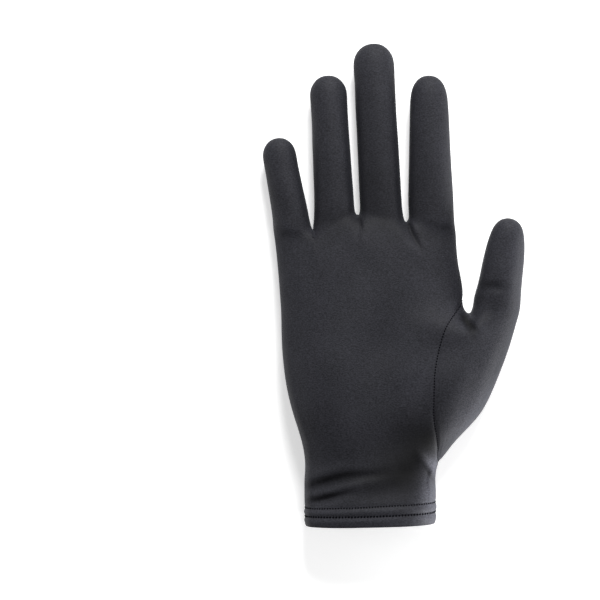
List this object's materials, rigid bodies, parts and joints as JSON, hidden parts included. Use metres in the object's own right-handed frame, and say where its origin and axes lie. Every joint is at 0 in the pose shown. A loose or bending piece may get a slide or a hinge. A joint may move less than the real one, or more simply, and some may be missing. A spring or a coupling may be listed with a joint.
{
  "type": "glove liner",
  "caption": "Knitted glove liner for the right hand, lying palm up, with a set-in thumb and a stitched double hem round its open wrist.",
  "frame": {"origin": "middle of the glove's outline, on the surface that it lies on", "axes": "+Y from the wrist to the fingertips, +X to the thumb, +Z from the back of the hand to the palm"},
  "size_m": [0.1299, 0.2395, 0.0314],
  "materials": {
    "palm_knit": "fine stretch knit, soft sheen",
    "back_knit": "fine stretch knit, soft sheen",
    "thumb_knit": "fine stretch knit, soft sheen",
    "hem_knit": "fine stretch knit, folded double"
  },
  "bodies": {
    "root": {"palm_panel": "palm_knit", "back_panel": "back_knit", "thumb_panel": "thumb_knit", "cuff_hem": "hem_knit"}
  },
  "joints": []
}
